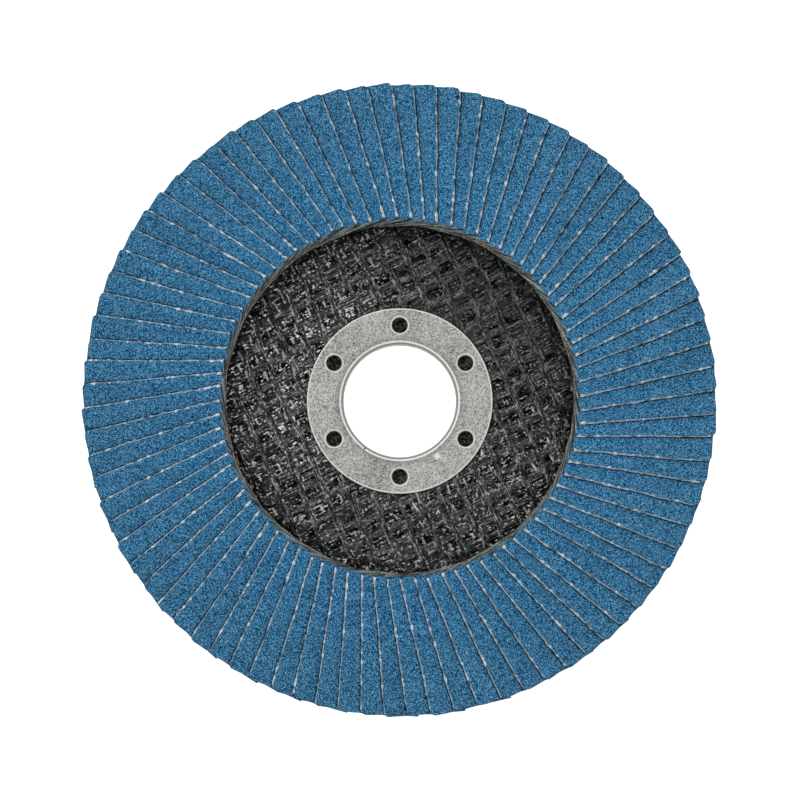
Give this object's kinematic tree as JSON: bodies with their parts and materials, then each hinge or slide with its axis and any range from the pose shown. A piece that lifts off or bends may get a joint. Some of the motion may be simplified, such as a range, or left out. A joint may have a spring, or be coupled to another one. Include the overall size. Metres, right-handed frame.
{
  "type": "flap disc",
  "caption": "Flap disc for an angle grinder: overlapping blue abrasive cloth flaps glued to a glass-fibre backing plate with a depressed centre and a pressed steel arbor ring.",
  "frame": {"origin": "centre of the arbor bore at the seat of the grinder's flange, which is the plane that the disc rests on", "axes": "+Z along the arbor axis, out of the abrasive side; +Y towards the first anchor hole of the ring"},
  "size_m": [0.125, 0.125, 0.0135],
  "materials": {
    "glass_fibre_resin": "semi-gloss black resin over an open glass-fibre mesh",
    "zinc_steel": "satin mottled zinc on pressed steel",
    "cured_adhesive": "dark brown cured epoxy adhesive",
    "abrasive_cloth": "matt blue bonded grit on woven cloth, with cream cut edges"
  },
  "bodies": {
    "root": {"backing_plate": "glass_fibre_resin", "centre_ring": "zinc_steel", "adhesive_bed": "cured_adhesive", "flap_pair_01": "abrasive_cloth", "flap_pair_02": "abrasive_cloth", "flap_pair_03": "abrasive_cloth", "flap_pair_04": "abrasive_cloth", "flap_pair_05": "abrasive_cloth", "flap_pair_06": "abrasive_cloth", "flap_pair_07": "abrasive_cloth", "flap_pair_08": "abrasive_cloth", "flap_pair_09": "abrasive_cloth", "flap_pair_10": "abrasive_cloth", "flap_pair_11": "abrasive_cloth", "flap_pair_12": "abrasive_cloth", "flap_pair_13": "abrasive_cloth", "flap_pair_14": "abrasive_cloth", "flap_pair_15": "abrasive_cloth", "flap_pair_16": "abrasive_cloth", "flap_pair_17": "abrasive_cloth", "flap_pair_18": "abrasive_cloth", "flap_pair_19": "abrasive_cloth", "flap_pair_20": "abrasive_cloth", "flap_pair_21": "abrasive_cloth", "flap_pair_22": "abrasive_cloth", "flap_pair_23": "abrasive_cloth", "flap_pair_24": "abrasive_cloth", "flap_pair_25": "abrasive_cloth", "flap_pair_26": "abrasive_cloth", "flap_pair_27": "abrasive_cloth", "flap_pair_28": "abrasive_cloth", "flap_pair_29": "abrasive_cloth", "flap_pair_30": "abrasive_cloth", "flap_pair_31": "abrasive_cloth", "flap_pair_32": "abrasive_cloth", "flap_pair_33": "abrasive_cloth", "flap_pair_34": "abrasive_cloth", "flap_pair_35": "abrasive_cloth", "flap_pair_36": "abrasive_cloth", "flap_pair_37": "abrasive_cloth", "flap_pair_38": "abrasive_cloth", "flap_pair_39": "abrasive_cloth", "flap_pair_40": "abrasive_cloth", "flap_pair_41": "abrasive_cloth", "flap_pair_42": "abrasive_cloth"}
  },
  "joints": []
}
